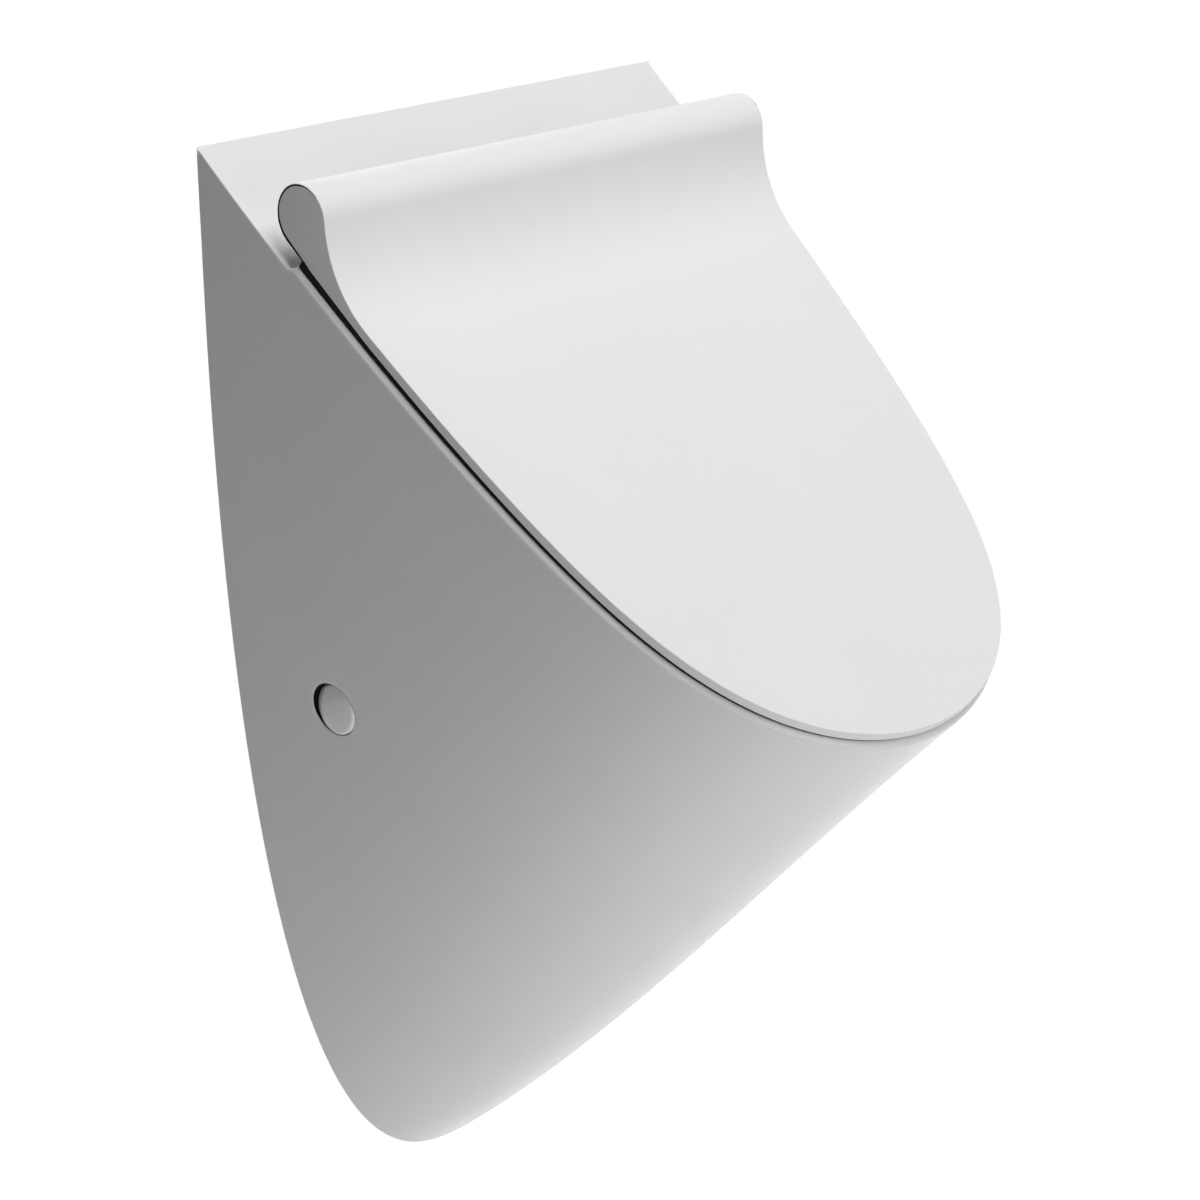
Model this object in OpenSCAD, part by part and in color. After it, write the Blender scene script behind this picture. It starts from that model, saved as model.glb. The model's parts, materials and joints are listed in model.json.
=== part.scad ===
/* [Ceramic body] */
// Width across the top edge at the wall
width = 300; // [285:1:315]
// Height of the back, from its lowest point to its top edge
height = 572; // [560:1:590]
// Length of the rim from the top edge at the wall to the tip, along the slope
rim_length = 408; // [400:1:420]
// Angle of the rim below the horizontal
rim_slope = 37.1; // [36:0.1:38.5]
// Dip of the rim line below a straight line at its middle
rim_sag = 2; // [0:0.1:4]
// Swell of the keel beyond a straight line
keel_crown = 5.2; // [0:0.1:9]
// Share of the width that the sides lose towards the tip
taper_share = 0.32; // [0.2:0.01:0.45]
// Bluntness of the tip: higher keeps the sides full for longer
nose_power = 8.9; // [5:0.1:12]
// Roundness of the back outline: the fall of its sides
back_power = 2.26; // [1.9:0.01:2.8]
// Roundness of the back outline: the fullness of its bottom
back_fullness = 2.42; // [2:0.01:3]
// Thickness of the outer skin
skin = 9; // [7:0.5:12]
// Thickness of the deck and the rim
deck_thick = 12; // [9:0.5:16]
// Height of the raised rim above the deck, and the radius of its edge
rim_round = 4; // [2:0.5:6]
// Distance along the slope from the wall to the raised rim
rim_start = 77; // [70:1:80]

/* [Bowl] */
// Width of the ledge between the bowl and the outside, at the sides
ledge = 38; // [32:1:46]
// Distance along the slope from the wall to the bowl's opening
bowl_start = 124; // [118:1:140]
// Ledge in front of the bowl's opening, along the slope
bowl_front = 34; // [28:1:44]
// Squareness of the opening's corners
bowl_power = 2.5; // [2:0.1:3.5]
// Share of its width that the opening loses towards the tip
bowl_taper_share = 0.2; // [0.1:0.01:0.3]
// Fullness of the bowl's walls
bowl_fullness = 1.6; // [1.2:0.05:1.8]
// Thickness of the bowl's wall
bowl_wall = 10; // [7:0.5:13]
// Room between the trap's cup and the inside of the keel below it
keel_room = 8.06; // [3:0.01:16]
// Radius of the bowl's floor
floor_radius = 36; // [34:0.5:40]
// Thickness of the bowl's floor
floor_thick = 13; // [11:0.5:16]

/* [Side fixings] */
// Turn of the fixing round the body, from its top edge to its keel
fixing_turn = 35.1; // [33:0.1:37]
// Place of the fixing between the rim and the wall, as a share
fixing_share = 0.66; // [0.64:0.01:0.7]
// Radius of the cap
cap_radius = 13.2; // [11:0.1:14]
// Depth of the cap's recess
recess_depth = 12; // [10:0.5:15]
// Thickness of the clamped floor of the recess
recess_floor = 6; // [4:0.5:9]
// Radius of the clamp screw's shank
screw_radius = 4; // [3:0.5:5]
// Radius of the hole for the wall screw in each bracket
wall_hole_radius = 4.5; // [3.5:0.5:6]
// Distance of each wall screw from the side of the top edge
wall_hole_inset = 58; // [50:0.5:65]
// Thickness of a bracket's wall plate
bracket_plate = 5; // [4:0.5:7]
// Width of a bracket's arm
bracket_arm = 14; // [12:0.5:18]

/* [Lid] */
// Thickness of the lid's plate
lid_thick = 4.8; // [4:0.1:6]
// Gap between the rim and the lid at the wall end
lid_gap_back = 4.4; // [3.6:0.1:5]
// Gap between the rim and the lid at the tip
lid_gap_tip = 1.1; // [0.8:0.1:2]
// Radius of the roll along the lid's upper end
roll_radius = 16; // [14.5:0.1:17]
// Distance of the roll's axis from the wall, along the slope
roll_along = 69.6; // [66:0.1:74]
// Height of the roll's axis over the slope
roll_above = 24; // [22.5:0.1:26]
// Distance along the slope at which the roll's hollow curve ends
roll_blend = 131; // [124:1:140]
// Thickness of the roll's wall over the hinge pocket
roll_wall = 3.4; // [3:0.1:4]
// Length of the roll's closed end, from the hinge pocket to the side of the top edge
roll_end = 64; // [52:1:70]

/* [Hinge] */
// Distance of each hinge post's middle from the end of the hinge pocket
post_inset = 13; // [11:0.5:18]
// Width of a hinge post
post_width = 14; // [10:1:16]
// Thickness of a hinge post's web
post_web_thick = 7.5; // [6:0.5:8]
// Radius of a hinge post's eye
eye_radius = 10.5; // [9:0.1:11.5]
// Radius of the damper's shaft
shaft_radius = 4; // [3:0.1:5]
// Radius of a damper's housing
damper_radius = 8.2; // [7.5:0.1:10]
// Length of a damper's housing
damper_length = 40; // [30:1:46]
// Length of a hinge post's foot along the slope
foot_length = 24; // [20:1:26]
// Thickness of a hinge post's foot
foot_thick = 2.4; // [2:0.1:2.8]
// Radius of the stud below each hinge post
stud_radius = 4; // [3:0.5:5]

/* [Water inlet] */
// Depth of the inlet's axis below the top edge at the wall
inlet_drop = 112; // [106:1:120]
// Radius of the flush pipe that comes out of the wall
flush_pipe_radius = 16; // [14:0.5:17.5]
// Radius of the spray head's tail
tail_radius = 12; // [10:0.5:13]
// Radius of the spray head's flange
spray_flange = 18; // [16:0.5:20]

/* [Waste outlet] */
// Radius of the waste pipe that comes out of the wall
waste_pipe_radius = 25; // [20:0.5:27]
// Depth of the waste pipe's axis below the top of the trap's cup
waste_below = 28; // [26:0.5:30]
// Room between the waste socket and the trap's cup
socket_room = 5.5; // [4.5:0.5:9.5]
// Radius of the trap's cup
cup_radius = 25.5; // [25:0.5:27]
// Height of the trap's cup
cup_height = 54; // [50:1:58]
// Wall of the trap's plastic parts
trap_wall = 2.5; // [2:0.1:3]
// Radius of the trap's tail through the bowl's floor
trap_tail = 22; // [20:0.5:23.5]
// Radius of the lift-out strainer
strainer_radius = 30; // [28:0.5:31]
// Radius of the strainer's holes
strainer_hole = 2.5; // [1.5:0.1:3]

/* [Hidden] */
$fn = 64;

// Colours
glaze = [0.95, 0.95, 0.94];
plastic = [0.9, 0.9, 0.9];
grey_plastic = [0.6, 0.62, 0.64];
steel = [0.75, 0.76, 0.78];
brass = [0.78, 0.62, 0.35];
rubber = [0.12, 0.12, 0.13];

// Small values shared by several pieces
overrun = 1;
play = 0.3;
close_play = 0.1;
running = 0.05;
nut_wall = 3.5;
nut_thick = 6.5;

// Steps of the curved shapes
deck_steps = 3;
rim_steps = 26;
depth_steps = 8;
edge_steps = 3;
bowl_sides = 44;
bowl_rows = 9;
outline_steps = 40;
arc_step = 4;
cap_steps = 6;

// The rim: s runs down the slope from the wall, h stands off it
function sag(s) = 4 * rim_sag * (s / rim_length) * (1 - s / rim_length);
function on_slope(x, s, h) = [
    x,
    -s * cos(rim_slope) - h * sin(rim_slope),
    -s * sin(rim_slope) + h * cos(rim_slope),
];
function on_rim(x, s, h) = on_slope(x, s, h - sag(s));
function rim_half(s, inset = 0, nose_inset = 0) =
    let(share = min(1, s / (rim_length - nose_inset)))
    (width / 2 - inset) * (1 - taper_share * pow(share, 2))
    * sqrt(max(0, 1 - pow(share, nose_power)));

// The angle of the keel above the horizontal
tip = on_slope(0, rim_length, 0);
keel_angle = atan2(tip[2] + height, -tip[1]);
nose_angle = rim_slope + keel_angle;

// A point on the body's outside: turn runs from the top edge to the keel, back from the rim to the wall
crown_skew = 2.25;
crown_power = 1.57;
function crown(back, turn) =
    4 * back * (1 - back) * (1 + crown_skew * (back - 1 / 2))
    * keel_crown * pow(sin(turn), crown_power);
function body_point(side, turn, back, inset = 0, drop = 0) =
    let(
        nose_inset = inset / sin(nose_angle) + drop / tan(nose_angle),
        s = (rim_length - nose_inset) * sin(turn),
        rim = on_rim(side * rim_half(s, inset, nose_inset), s, -drop),
        behind = drop * sin(rim_slope),
        fall = drop * cos(rim_slope),
        tall = height - fall - inset / cos(keel_angle) + behind * tan(keel_angle),
        half = (width / 2 - inset) * pow(1 - pow(sin(turn), back_power), 1 / back_fullness),
        wall = [side * half, behind, -fall - tall * sin(turn)],
        swell = crown(back, turn)
    )
    rim * (1 - back) + wall * back - swell * [0, cos(keel_angle), sin(keel_angle)];

// Depth of the bowl's floor: the trap hangs below it and clears the inside of the keel
gasket_thick = 1.5;
locknut_thick = 7;
trap_below = floor_thick + gasket_thick + locknut_thick + gasket_thick;
socket_back = 1;
socket_depth = 18;
outlet_reach = socket_back + socket_depth + socket_room + cup_radius;
cup_reach = outlet_reach + cup_radius;
keel_under = skin - crown(1 + cup_reach / tip[1], 90);
keel_rise = cup_reach * tan(keel_angle) + keel_under / cos(keel_angle);
floor_drop = height - keel_rise - keel_room - cup_height - trap_below;
waste_drop = floor_drop + trap_below + waste_below;

// A point on the rounded edge of the raised rim, or on the flat deck behind it
function edge_point(side, turn, step) =
    let(
        inset = rim_round * (1 - cos(90 * step / edge_steps)),
        rise = rim_length * sin(turn) > rim_start ? rim_round * sin(90 * step / edge_steps) : 0,
        s = (rim_length - inset) * sin(turn)
    )
    on_rim(side * rim_half(s, inset, inset), s, rise);

// The turns at which the body is divided, with a near step at the start of the raised rim
step_width = 0.6;
first_turn = asin(rim_start / rim_length);
second_turn = asin((rim_start + step_width) / rim_length);
half_turns = [
    for (i = [1 : deck_steps]) first_turn * i / deck_steps,
    for (i = [0 : rim_steps]) second_turn + (90 - second_turn) * i / rim_steps,
];

// The body's shape at an inset from its sides and keel and a drop below its deck
module body_shape(inset = 0, drop = 0, edges = 0) {
    count = len(half_turns);
    last = 2 * count - 2;
    row = edges + depth_steps + 1;
    corners = [body_point(-1, 0, 0, inset, drop), body_point(1, 0, 0, inset, drop)];
    grid = [
        for (i = [0 : last], j = [-edges : depth_steps])
            let(
                side = sign(i - count + 1),
                turn = half_turns[i < count ? i : last - i]
            )
            j < 0 ? edge_point(side, turn, -j) : body_point(side, turn, j / depth_steps, inset, drop)
    ];
    sides = [
        for (i = [0 : last - 1], j = [0 : row - 2])
            let(a = 2 + i * row + j)
            each [[a, a + row, a + row + 1], [a, a + row + 1, a + 1]]
    ];
    left_fan = [for (j = [0 : row - 2]) [0, 2 + j, 3 + j]];
    right_fan = [for (j = [0 : row - 2]) [1, 3 + last * row + j, 2 + last * row + j]];
    top = [
        for (i = [0 : count - 2])
            let(a = 2 + i * row, b = 2 + (last - i) * row)
            i < count - 2 ? [b, b - row, a + row, a] : [b, a + row, a]
    ];
    top_back = [1, 2 + last * row, 2, 0];
    back = [0, for (i = [0 : last]) 2 + i * row + row - 1, 1];
    polyhedron(
        points = concat(corners, grid),
        faces = concat(sides, left_fan, right_fan, top, [top_back], [back]),
        convexity = 4
    );
}

// The bowl: its opening follows the rim, and its walls close in on the round floor
bowl_middle = (bowl_start + rim_length - bowl_front) / 2;
bowl_reach = (rim_length - bowl_front - bowl_start) / 2;
bowl_half = width / 2 - ledge;
function rounded(value) = sign(value) * pow(abs(value), 2 / bowl_power);
function bowl_edge(angle, grow, h) =
    let(
        along = rounded(sin(angle)),
        s = bowl_middle + (bowl_reach + grow) * along,
        x = (bowl_half + grow) * rounded(cos(angle)) * (1 - bowl_taper_share * (1 + along) / 2)
    )
    on_rim(x, s, h);
function bowl_point(angle, share, grow = 0, h = rim_round, deeper = 0) =
    let(
        edge = bowl_edge(angle, grow, h),
        radius = floor_radius + grow,
        foot = [
            radius * cos(angle), -outlet_reach - radius * sin(angle), -floor_drop - deeper
        ],
        close = 1 - pow(share, bowl_fullness)
    )
    [
        foot[0] + (edge[0] - foot[0]) * close,
        foot[1] + (edge[1] - foot[1]) * close,
        edge[2] + (foot[2] - edge[2]) * share,
    ];
module bowl_shape(grow = 0, h = rim_round, deeper = 0, above = 0) {
    points = [
        for (j = [-1 : bowl_rows], i = [0 : bowl_sides - 1])
            let(angle = 360 * i / bowl_sides)
            j < 0
                ? bowl_edge(angle, grow, h + above)
                : bowl_point(angle, j / bowl_rows, grow, h, deeper)
    ];
    last = (bowl_rows + 1) * bowl_sides;
    walls = [
        for (j = [0 : bowl_rows], i = [0 : bowl_sides - 1])
            let(
                a = j * bowl_sides + i,
                b = j * bowl_sides + (i + 1) % bowl_sides
            )
            each [[a, b + bowl_sides, b], [a, a + bowl_sides, b + bowl_sides]]
    ];
    lid_face = [for (i = [0 : bowl_sides - 1]) i];
    floor_face = [for (i = [bowl_sides - 1 : -1 : 0]) last + i];
    polyhedron(points = points, faces = concat(walls, [lid_face], [floor_face]), convexity = 4);
}

// Frames: the part's origin is on the wall, midway between the two wall screws
fixing = body_point(-1, fixing_turn, fixing_share);
fixing_out = -fixing[0];
fixing_reach = -fixing[1];
module at_origin() {
    translate([0, 0, -fixing[2]]) children();
}
module on_side(side) {
    if (side < 0) mirror([1, 0, 0]) children();
    else children();
}
module along_x(x, y, z) {
    translate([x, y, z]) rotate([0, 90, 0]) children();
}
module along_wall(y, z) {
    translate([0, y, z]) rotate([90, 0, 0]) children();
}
function sag_angle(s) = atan(4 * rim_sag / rim_length * (1 - 2 * s / rim_length));
module at_rim(x, s) {
    translate(on_rim(x, s, rim_round)) rotate([rim_slope + sag_angle(s), 0, 0]) children();
}
module ring(outer, inner, tall) {
    difference() {
        cylinder(r = outer, h = tall);
        translate([0, 0, -overrun]) cylinder(r = inner, h = tall + 2 * overrun);
    }
}

// Side fixings: a screw through the recess's floor into a nut in the wall bracket's arm
fixing_level = fixing[2];
cap_play = 0.5;
cap_sink = 1.6;
cap_thick = 2.5;
cap_skirt = 1.6;
cap_crown = 90;
recess_radius = cap_radius + cap_play;
recess_wall = 8;
recess_out = fixing_out - recess_depth;
boss_out = recess_out - recess_floor;
bush_wall = 2.3;
bush_radius = screw_radius + bush_wall;
bush_flange = 2;
bush_rim = 10;
bush_hole = bush_radius + close_play;
head_overlap = 3;
head_radius = screw_radius + head_overlap;
head_tall = 5;
screw_tail = 2;
screw_nut_radius = screw_radius + nut_wall;
arm_out = boss_out - play;
arm_in = arm_out - bracket_arm;
arm_tall = 26;
arm_nose = 12;
plate_tall = 44;
plate_inward = 20;
wall_hole_spacing = width - 2 * wall_hole_inset;
plate_in = wall_hole_spacing / 2 - plate_inward;

// Water inlet: the spray head screws through the bowl's back wall
inlet_rim = bowl_edge(270, 0, rim_round);
inlet_share = (inlet_rim[2] + inlet_drop) / (inlet_rim[2] + floor_drop);
spray_seat_depth = 1.5;
spray_seat = -bowl_point(270, inlet_share)[1] - spray_seat_depth;
spray_margin = 4;
spray_boss_depth = 15;
spray_boss_back = spray_seat - spray_boss_depth;
spray_flange_thick = 3;
spray_flange_play = 1;
spray_dome = 13;
tail_wall = 3;
tail_play = 1;
nozzle_radius = 1.5;
nozzle_count = 5;
nozzle_fan = 150;
nozzle_tilt = 60;
spray_nut_thick = 6;
sleeve_back = 4;
sleeve_depth = 40;
sleeve_wall = 4;
sleeve_grip = 11;
tail_back = sleeve_back + sleeve_depth + overrun;
flange_back = spray_seat + gasket_thick - tail_back;
flange_front = flange_back + spray_flange_thick;

// Waste outlet: the seat, the trap's cup below the floor and the socket behind it
floor_lip = 1;
recess_play = 0.5;
seat_recess = 7;
seat_recess_radius = floor_radius - floor_lip;
seat_radius = seat_recess_radius - recess_play;
seat_top = -floor_drop - play;
seat_under = -floor_drop - seat_recess + gasket_thick;
floor_under = -floor_drop - floor_thick;
floor_hole_play = 1.5;
floor_hole = trap_tail + floor_hole_play;
strainer_thick = 3;
strainer_sink = 0.2;
strainer_base = seat_top - strainer_sink - strainer_thick;
strainer_circle_shares = [0, 0.36, 0.72];
strainer_circle_holes = [1, 6, 12];
locknut_wall = 7;
locknut_radius = trap_tail + locknut_wall;
cup_top = -floor_drop - trap_below;
cup_base = cup_top - cup_height;
cup_collar = 4;
tail_in_cup = 15;
tail_base = cup_top - tail_in_cup;
dip_radius = 15;
dip_sink = 0.5;
dip_gap = 11;
dip_top = seat_under - dip_sink;
dip_base = cup_base + trap_wall + dip_gap;
socket_play = 1;
socket_radius = waste_pipe_radius + socket_play;
socket_neck = 16;
seal_back = 4;
seal_length = 8;

module seal_stack(z) {
    translate([0, -outlet_reach, z]) children();
}

// Hinge: the roll's axis and the posts that carry it
axis_point = on_slope(0, roll_along, roll_above);
pocket_half = width / 2 - roll_end;
post_place = pocket_half - post_inset;
post_in = post_place - post_width / 2;
post_out = post_place + post_width / 2;
foot_along = 90;
foot_side = 6;
foot_half = post_width / 2 + foot_side;
pad_thick = 0.5;
pad_lift = 0.03;
rim_thick = rim_round + deck_thick;
stud_play = 1.5;
stud_hole = stud_radius + stud_play;
stud_tail = 3;
stud_nut_radius = stud_radius + nut_wall;
washer_wall = 5;
washer_radius = stud_radius + washer_wall;
washer_thick = 2;
shaft_inner = 3;
shaft_grip = 24;
spacer_step = 1;
spacer_radius = eye_radius - spacer_step;

module at_axis(x) {
    along_x(x, axis_point[1], axis_point[2]) children();
}
module at_foot() {
    at_rim(post_place, foot_along) children();
}
module at_fixing(x) {
    along_x(x, -fixing_reach, fixing_level) children();
}
module both_sides() {
    for (side = [-1, 1]) on_side(side) children();
}

// Body: a shell, open at the back, with the bowl, its outlet, and the bosses and holes of the fixings
module hollow() {
    difference() {
        body_shape(inset = skin, drop = deck_thick);
        bowl_shape(grow = bowl_wall, h = -deck_thick / 2, deeper = floor_thick, above = overrun);
        both_sides() at_fixing(boss_out)
            cylinder(r = recess_radius + recess_wall, h = recess_floor + recess_depth + skin);
        along_wall(-spray_boss_back, -inlet_drop)
            cylinder(r = spray_flange + spray_margin, h = spray_boss_depth);
    }
}
module fixing_cut() {
    at_fixing(recess_out) cylinder(r = recess_radius, h = recess_depth + skin);
    at_fixing(boss_out - overrun) cylinder(r = bush_hole, h = recess_floor + 2 * overrun);
}
module inlet_cut() {
    along_wall(-spray_boss_back + overrun, -inlet_drop)
        cylinder(r = tail_radius + tail_play, h = spray_boss_depth + 2 * overrun);
    along_wall(-spray_seat, -inlet_drop)
        cylinder(r = spray_flange + spray_flange_play, h = bowl_wall);
}
module outlet_cut() {
    seal_stack(-floor_drop - seat_recess)
        cylinder(r = seat_recess_radius, h = seat_recess + overrun);
    seal_stack(floor_under - overrun) cylinder(r = floor_hole, h = floor_thick + overrun);
}
module ceramic_body() color(glaze) at_origin() difference() {
    body_shape(edges = edge_steps);
    hollow();
    bowl_shape(above = 2 * rim_round);
    both_sides() fixing_cut();
    inlet_cut();
    outlet_cut();
    both_sides() at_foot() translate([0, 0, -rim_thick - overrun])
        cylinder(r = stud_hole, h = rim_thick + 2 * overrun);
}

// Pieces of the side fixings
module wall_bracket(side) color(steel) at_origin() on_side(side) difference() {
    union() {
        translate([plate_in, -bracket_plate, fixing_level - plate_tall / 2])
            cube([arm_out - plate_in, bracket_plate, plate_tall]);
        translate([arm_in, -fixing_reach - arm_nose, fixing_level - arm_tall / 2])
            cube([bracket_arm, fixing_reach + arm_nose - bracket_plate, arm_tall]);
    }
    translate([wall_hole_spacing / 2, overrun, fixing_level]) rotate([90, 0, 0])
        cylinder(r = wall_hole_radius, h = bracket_plate + 2 * overrun);
    at_fixing(arm_in - overrun)
        cylinder(r = screw_radius + play, h = bracket_arm + 2 * overrun);
    at_fixing(arm_in - overrun)
        cylinder(r = screw_nut_radius + play, h = nut_thick + overrun, $fn = 6);
}
module nut(outer, inner) {
    difference() {
        cylinder(r = outer, h = nut_thick, $fn = 6);
        translate([0, 0, -overrun]) cylinder(r = inner, h = nut_thick + 2 * overrun);
    }
}
module clamp_nut(side) color(steel) at_origin() on_side(side)
    at_fixing(arm_in) nut(screw_nut_radius, screw_radius);
module clamp_screw(side) color(steel) at_origin() on_side(side) difference() {
    union() {
        at_fixing(recess_out + bush_flange) cylinder(r = head_radius, h = head_tall);
        at_fixing(arm_in - screw_tail)
            cylinder(r = screw_radius, h = recess_out + bush_flange + screw_tail - arm_in);
    }
    at_fixing(recess_out + bush_flange + head_tall / 2)
        cylinder(r = screw_radius, h = head_tall, $fn = 6);
}
module clamp_bush(side) color(grey_plastic) at_origin() on_side(side)
    at_fixing(boss_out) difference() {
        union() {
            cylinder(r = bush_radius, h = recess_floor);
            translate([0, 0, recess_floor]) cylinder(r = bush_rim, h = bush_flange);
        }
        translate([0, 0, -overrun]) cylinder(
            r = screw_radius + close_play,
            h = recess_floor + bush_flange + 2 * overrun
        );
    }
module side_cap(side) color(glaze) at_origin() on_side(side)
    at_fixing(recess_out + play) rotate_extrude()
    let(
        face = recess_depth - cap_sink - play,
        edge = face - cap_crown + sqrt(pow(cap_crown, 2) - pow(cap_radius, 2)),
        half_turn = asin(cap_radius / cap_crown)
    )
    polygon(concat(
        [[0, face - cap_thick], [cap_radius - cap_skirt, face - cap_thick]],
        [[cap_radius - cap_skirt, 0], [cap_radius, 0], [cap_radius, edge]],
        [
            for (i = [1 : cap_steps])
                let(turn = half_turn * (1 - i / cap_steps))
                [cap_crown * sin(turn), face - cap_crown + cap_crown * cos(turn)]
        ]
    ));

// Pieces of the water inlet
module inlet_sleeve() color(rubber) at_origin() along_wall(-sleeve_back, -inlet_drop)
    difference() {
        cylinder(r = flush_pipe_radius + sleeve_wall, h = sleeve_depth + sleeve_grip);
        translate([0, 0, -overrun]) cylinder(r = flush_pipe_radius, h = sleeve_depth + overrun);
        cylinder(r = tail_radius, h = sleeve_depth + sleeve_grip + overrun);
    }
module spray_head() color(steel) at_origin() along_wall(-tail_back, -inlet_drop) difference() {
    union() {
        cylinder(r = tail_radius, h = flange_back);
        translate([0, 0, flange_back]) cylinder(r = spray_flange, h = spray_flange_thick);
        translate([0, 0, flange_front]) intersection() {
            sphere(r = spray_dome);
            cylinder(r = spray_dome, h = spray_dome);
        }
    }
    translate([0, 0, -overrun])
        cylinder(r = tail_radius - tail_wall, h = flange_front + overrun);
    for (i = [0 : nozzle_count - 1])
        translate([0, 0, flange_front])
            rotate([0, 0, nozzle_fan * (i / (nozzle_count - 1) - 1 / 2)])
            rotate([nozzle_tilt, 0, 0])
            cylinder(r = nozzle_radius, h = spray_dome + overrun);
}
module spray_gasket() color(rubber) at_origin() along_wall(-spray_seat, -inlet_drop)
    ring(spray_flange, tail_radius + close_play, gasket_thick);
module spray_nut() color(brass) at_origin()
    along_wall(-spray_boss_back + spray_nut_thick, -inlet_drop) difference() {
        cylinder(r = spray_flange, h = spray_nut_thick, $fn = 6);
        translate([0, 0, -overrun]) cylinder(r = tail_radius, h = spray_nut_thick + 2 * overrun);
    }

// Pieces of the waste outlet
module strainer_seat() color(grey_plastic) at_origin() seal_stack(0) difference() {
    union() {
        translate([0, 0, seat_under]) cylinder(r = seat_radius, h = seat_top - seat_under);
        translate([0, 0, tail_base]) cylinder(r = trap_tail, h = seat_under - tail_base + overrun);
    }
    translate([0, 0, strainer_base]) cylinder(r = strainer_radius + play, h = seat_recess);
    translate([0, 0, tail_base - overrun])
        cylinder(r = trap_tail - trap_wall, h = strainer_base - tail_base + 2 * overrun);
}
module seat_gasket() color(rubber) at_origin() seal_stack(-floor_drop - seat_recess)
    ring(seat_radius, floor_hole, gasket_thick);
module tail_gasket() color(rubber) at_origin() seal_stack(floor_under - gasket_thick)
    ring(locknut_radius, trap_tail + close_play, gasket_thick);
module tail_locknut() color(grey_plastic) at_origin()
    seal_stack(floor_under - gasket_thick - locknut_thick)
    ring(locknut_radius, trap_tail, locknut_thick);
module trap_cup() color(grey_plastic) at_origin() difference() {
    seal_stack(cup_base) difference() {
        cylinder(r = cup_radius, h = cup_height);
        translate([0, 0, trap_wall])
            cylinder(r = cup_radius - trap_wall, h = cup_height - trap_wall - cup_collar);
        translate([0, 0, trap_wall]) cylinder(r = trap_tail, h = cup_height);
    }
    along_wall(0, -waste_drop) cylinder(r = socket_neck, h = outlet_reach);
}
module dip_tube() color(grey_plastic) at_origin() seal_stack(0) difference() {
    union() {
        translate([0, 0, dip_top - trap_wall])
            cylinder(r = trap_tail - trap_wall, h = trap_wall);
        translate([0, 0, dip_base]) cylinder(r = dip_radius, h = dip_top - dip_base);
    }
    translate([0, 0, dip_base - overrun])
        cylinder(r = dip_radius - trap_wall, h = dip_top - dip_base + 2 * overrun);
}
module waste_socket() color(grey_plastic) at_origin() along_wall(-socket_back, -waste_drop)
    difference() {
        union() {
            cylinder(r = socket_radius + trap_wall, h = socket_depth);
            cylinder(r = socket_neck, h = outlet_reach - cup_radius + trap_wall - socket_back);
        }
        translate([0, 0, -overrun])
            cylinder(r = socket_radius, h = socket_depth - trap_wall + overrun);
        translate([0, 0, -overrun]) cylinder(r = socket_neck - trap_wall, h = outlet_reach);
    }
module waste_seal() color(rubber) at_origin() along_wall(-seal_back, -waste_drop)
    ring(socket_radius, waste_pipe_radius, seal_length);
module strainer() color(steel) at_origin() seal_stack(strainer_base) difference() {
    cylinder(r = strainer_radius, h = strainer_thick);
    for (circle = [0 : len(strainer_circle_shares) - 1])
        for (i = [1 : strainer_circle_holes[circle]])
            rotate([0, 0, 360 * i / strainer_circle_holes[circle]])
            translate([strainer_circle_shares[circle] * strainer_radius, 0, -overrun])
            cylinder(r = strainer_hole, h = strainer_thick + 2 * overrun);
}

// Pieces of the hinge
module hinge_post(side) color(steel) at_origin() on_side(side) difference() {
    union() {
        at_axis(post_in) cylinder(r = eye_radius, h = post_width);
        intersection() {
            translate([post_in, axis_point[1] - post_web_thick / 2, axis_point[2] - 2 * roll_above])
                cube([post_width, post_web_thick, 2 * roll_above]);
            at_foot() translate([-post_width, -foot_length, pad_thick])
                cube([2 * post_width, 3 * foot_length, 2 * roll_above]);
        }
        at_foot() translate([-foot_half, -foot_length / 2, pad_thick])
            cube([2 * foot_half, foot_length, foot_thick]);
    }
    at_axis(post_in - overrun) cylinder(r = shaft_radius, h = post_width + 2 * overrun);
}
module hinge_shaft(side) color(steel) at_origin() on_side(side)
    at_axis(post_in - shaft_inner)
    cylinder(r = shaft_radius, h = pocket_half + shaft_grip + shaft_inner - post_in);
module hinge_pad(side) color(rubber) at_origin() on_side(side) at_foot() difference() {
    translate([-foot_half, -foot_length / 2, pad_lift])
        cube([2 * foot_half, foot_length, pad_thick - pad_lift]);
    translate([0, 0, -overrun]) cylinder(r = stud_hole, h = pad_thick + 2 * overrun);
}
stud_below = rim_thick + 2 * washer_thick + nut_thick + stud_tail;
module hinge_stud(side) color(steel) at_origin() on_side(side) at_foot()
    translate([0, 0, -stud_below]) cylinder(r = stud_radius, h = stud_below + pad_thick);
module stud_washer(side) color(rubber) at_origin() on_side(side) at_foot()
    translate([0, 0, -rim_thick - washer_thick])
    ring(washer_radius, stud_radius + close_play, washer_thick);
module stud_nut(side) color(steel) at_origin() on_side(side) at_foot()
    translate([0, 0, -rim_thick - washer_thick - nut_thick]) nut(stud_nut_radius, stud_radius);
module hinge_bush(side) color(grey_plastic) at_origin() on_side(side)
    at_axis(post_out) ring(spacer_radius, shaft_radius + running, pocket_half - play - post_out);

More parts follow.
